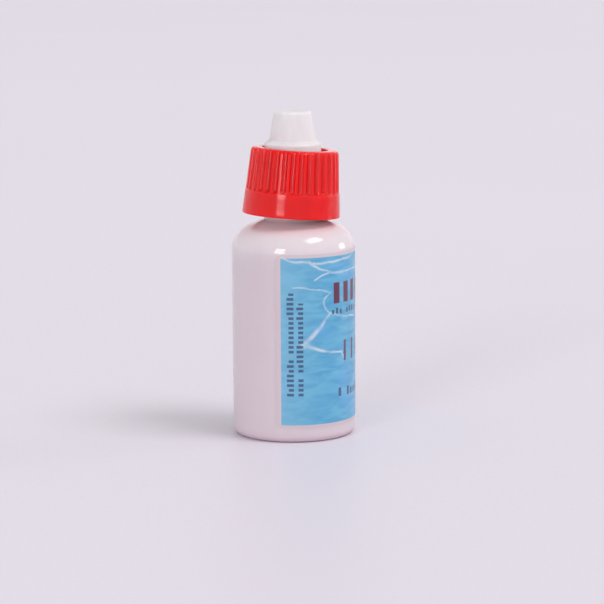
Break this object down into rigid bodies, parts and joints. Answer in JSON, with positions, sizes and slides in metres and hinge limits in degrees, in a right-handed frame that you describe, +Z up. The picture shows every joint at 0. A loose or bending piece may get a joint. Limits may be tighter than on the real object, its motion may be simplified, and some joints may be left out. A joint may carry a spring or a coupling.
{
  "type": "dropper bottle",
  "caption": "Small round squeeze bottle with a wrapped label, press-in dropper insert and a two-piece press-and-turn closure: white cap with a conical nose in a ribbed red shell.",
  "frame": {"origin": "middle of the bottle's base, in the plane of the flat ring it stands on", "axes": "+Z up along the bottle's axis towards the nose; -Y faces the middle of the label; the loose outer shell rests tilted towards -Y and a little towards +X"},
  "size_m": [0.0272, 0.0271, 0.0712],
  "materials": {
    "bottle_plastic": "satin",
    "label_film": "gloss",
    "reagent_liquid": "gloss",
    "insert_plastic": "satin",
    "washer_foam": "matte",
    "inner_cap_plastic": "satin",
    "shell_plastic": "gloss"
  },
  "bodies": {
    "bottle_body": {"bottle": "bottle_plastic", "label": "label_film", "reagent": "reagent_liquid", "dropper_insert": "insert_plastic"},
    "washer": {"sealing_washer": "washer_foam"},
    "cap": {"inner_cap": "inner_cap_plastic"},
    "shell": {"outer_shell": "shell_plastic"}
  },
  "joints": [
    {"name": "closure_lift", "type": "slide", "parent": "bottle_body", "child": "washer", "axis": [0, 0, 1], "range_m": [0, 0.021]},
    {"name": "closure_turn", "type": "hinge", "parent": "washer", "child": "cap", "pos_m": [0, 0, 0.0545], "axis": [0, 0, 1], "range_deg": [0, 2520]},
    {"name": "shell_press", "type": "slide", "parent": "cap", "child": "shell", "axis": [0, 0, -1], "range_m": [0, 0.0006], "stiffness_N_per_m": 4000}
  ],
  "couplings": [
    {"joint": "closure_turn", "follows": "closure_lift", "rad_per_m": 2094.4}
  ]
}
